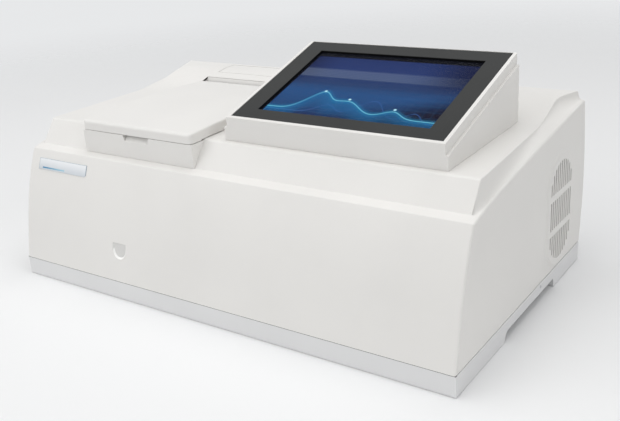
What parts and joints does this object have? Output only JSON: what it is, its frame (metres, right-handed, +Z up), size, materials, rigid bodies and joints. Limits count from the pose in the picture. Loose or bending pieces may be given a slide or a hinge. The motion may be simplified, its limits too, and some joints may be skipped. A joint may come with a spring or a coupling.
{
  "type": "benchtop fluorometer",
  "caption": "Benchtop fluorometer with a front-opening sample lid, a sloped touch console, side air grilles and internal optics.",
  "frame": {"origin": "on the bench surface, under the middle of the case", "axes": "+X to the right along the width, +Y to the back, +Z up"},
  "size_m": [0.6, 0.348, 0.2667],
  "materials": {
    "warm_white_shell": "fine satin texture",
    "base_grey_white": "fine satin texture",
    "plate_silver": "satin film",
    "port_grey": "matt",
    "rubber_dark": "matt",
    "foam_black": "matt foam",
    "liner_black": "matt",
    "well_black": "matt black coat",
    "holder_anodised": "black anodised",
    "optical_glass": "polished",
    "screen_glass": "satin anti-glare",
    "hinge_steel": "brushed",
    "panel_steel": "fine powder coat",
    "bezel_charcoal": "satin",
    "screen_blue": "lit display",
    "board_green": "solder mask",
    "deck_aluminium": "milled",
    "optics_cast": "dark anodised",
    "lamp_house_aluminium": "satin",
    "table_aluminium": "turned",
    "grating_mirror": "polished",
    "motor_black": "satin",
    "shutter_black": "matt",
    "coil_brass": "lacquered",
    "pmt_aluminium": "black anodised",
    "supply_case": "folded sheet",
    "fan_black": "moulded",
    "connector_black": "moulded",
    "rocker_red": "satin",
    "port_metal": "plated"
  },
  "bodies": {
    "chassis": {"base_tray": "base_grey_white", "rubber_feet": "rubber_dark", "housing": "warm_white_shell", "top_cover": "warm_white_shell", "rear_panel": "panel_steel", "rear_access_cover": "warm_white_shell", "side_grille_right": "warm_white_shell", "side_grille_left": "warm_white_shell", "nameplate": "plate_silver", "front_port_plug": "port_grey", "compartment_front": "warm_white_shell", "hinge_pins": "hinge_steel", "hinge_brackets": "hinge_steel", "sample_well": "well_black", "cuvette_holder": "holder_anodised", "lens_mounts": "holder_anodised", "lenses": "optical_glass", "console_base": "warm_white_shell", "display_frame": "warm_white_shell", "display_bezel": "bezel_charcoal", "touch_glass": "screen_glass", "lcd_panel": "screen_blue", "display_board": "board_green", "optical_base": "deck_aluminium", "isolators": "rubber_dark", "ex_mono_box": "optics_cast", "ex_mono_cover": "optics_cast", "ex_mirror": "grating_mirror", "ex_motor": "motor_black", "em_mono_box": "optics_cast", "em_mono_cover": "optics_cast", "em_mirror": "grating_mirror", "em_motor": "motor_black", "fold_mirror_box": "optics_cast", "fold_mirror": "grating_mirror", "beam_tube": "holder_anodised", "lamp_house": "lamp_house_aluminium", "lamp_reflector": "grating_mirror", "xenon_lamp": "optical_glass", "shutter_solenoid": "coil_brass", "pmt_housing": "pmt_aluminium", "pmt_tube": "optical_glass", "power_supply": "supply_case", "main_board": "board_green", "fan_frame": "fan_black", "power_inlet": "connector_black", "switch_body": "connector_black", "data_ports": "port_metal", "screws": "hinge_steel"},
    "lid": {"sample_lid": "warm_white_shell", "lid_liner": "liner_black", "lid_gasket": "foam_black", "lid_hinge_arms": "hinge_steel"},
    "ex_grating_drive": {"ex_grating_table": "table_aluminium", "ex_grating": "grating_mirror"},
    "em_grating_drive": {"em_grating_table": "table_aluminium", "em_grating": "grating_mirror"},
    "shutter": {"shutter_blade": "shutter_black"},
    "fan": {"fan_rotor": "fan_black"},
    "rocker": {"power_rocker": "rocker_red"}
  },
  "joints": [
    {"name": "lid_hinge", "type": "hinge", "parent": "chassis", "child": "lid", "pos_m": [-0.1245, 0.082, 0.186], "axis": [-1, 0, 0], "range_deg": [0, 78]},
    {"name": "ex_grating_turn", "type": "hinge", "parent": "chassis", "child": "ex_grating_drive", "pos_m": [0.0265, 0.094, 0.08], "axis": [0, 0, 1], "range_deg": [-40, 40]},
    {"name": "em_grating_turn", "type": "hinge", "parent": "chassis", "child": "em_grating_drive", "pos_m": [0.0565, -0.026, 0.08], "axis": [0, 0, 1], "range_deg": [-40, 40]},
    {"name": "shutter_swing", "type": "hinge", "parent": "chassis", "child": "shutter", "pos_m": [0.1265, 0.07, 0.134], "axis": [-1, 0, 0], "range_deg": [0, 45], "stiffness_Nm_per_rad": 0.03, "springref_deg": -28.65},
    {"name": "fan_spin", "type": "hinge", "parent": "chassis", "child": "fan", "pos_m": [0.28, 0.089, 0.092], "axis": [1, 0, 0], "continuous": true},
    {"name": "rocker_tilt", "type": "hinge", "parent": "chassis", "child": "rocker", "pos_m": [0.262, 0.151, 0.098], "axis": [-1, 0, 0], "range_deg": [0, 16]}
  ]
}
